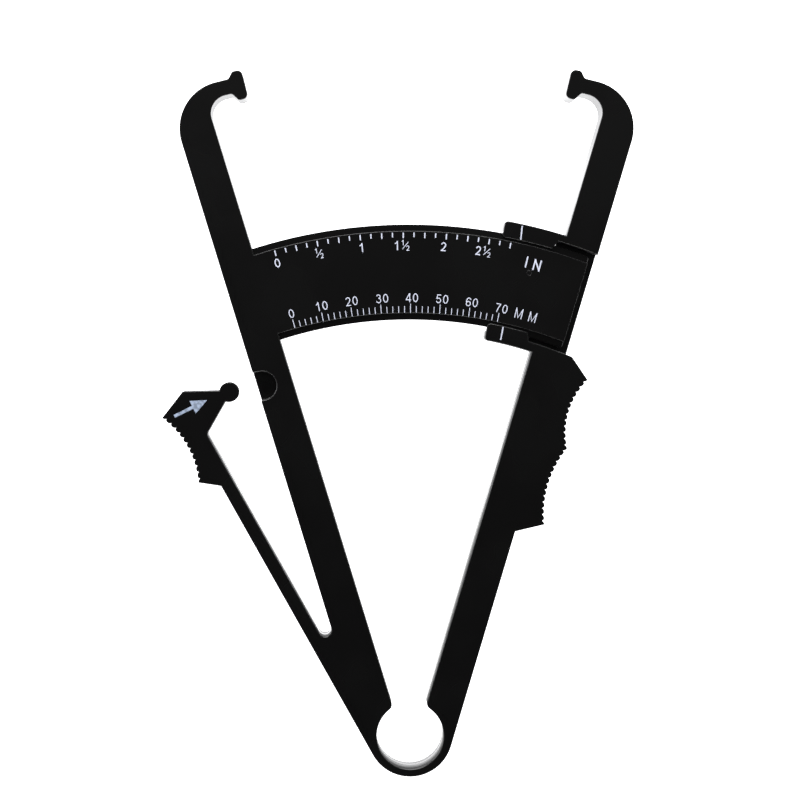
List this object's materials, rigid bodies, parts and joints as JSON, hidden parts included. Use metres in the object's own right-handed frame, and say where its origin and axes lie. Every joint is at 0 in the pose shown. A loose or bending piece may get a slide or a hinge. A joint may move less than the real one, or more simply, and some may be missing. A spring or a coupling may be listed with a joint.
{
  "type": "skinfold caliper",
  "caption": "Hand-held plastic skinfold caliper: two hooked jaws on a spring ring, a curved inch and millimetre scale, and a thumb lever that nests in a pocket of the arm.",
  "frame": {"origin": "middle of the underside of the bounding box, with the caliper lying flat on its back", "axes": "+Y towards the jaws, +Z out of the scale's face, +X from the arm with the lever towards the arm with the finger grip"},
  "size_m": [0.104, 0.1558, 0.0101],
  "materials": {
    "moulding": "black moulded ABS with a low gloss",
    "scale_ink": "white pad-printed ink",
    "arrow_ink": "grey-blue pad-printed ink"
  },
  "bodies": {
    "left_side": {"left_root": "moulding", "left_arm": "moulding", "left_jaw": "moulding", "left_jaw_foot": "moulding", "scale_plate": "moulding", "spring_ring": "moulding", "lever_leaf": "moulding"},
    "right_side": {"right_arm_lower": "moulding", "finger_grip": "moulding", "channel_bridge": "moulding", "right_arm_upper": "moulding", "right_jaw": "moulding", "right_jaw_foot": "moulding", "inch_tab": "moulding", "millimetre_tab": "moulding", "inch_index_line": "scale_ink", "millimetre_index_line": "scale_ink"},
    "thumb_lever": {"thumb_pad": "moulding", "index_ball": "moulding", "lever_arrow": "arrow_ink"}
  },
  "joints": [
    {"name": "jaw_closing", "type": "hinge", "parent": "left_side", "child": "right_side", "pos_m": [0.00212, -0.06956, 0.005], "axis": [0, 0, 1], "range_deg": [0, 27.4], "stiffness_Nm_per_rad": 0.51, "deforming": ["spring_ring"]},
    {"name": "lever_press", "type": "hinge", "parent": "left_side", "child": "thumb_lever", "pos_m": [-0.02529, -0.03531, 0.005], "axis": [0, 0, -1], "range_deg": [0, 9.6], "stiffness_Nm_per_rad": 1.6, "deforming": ["lever_leaf"]}
  ]
}
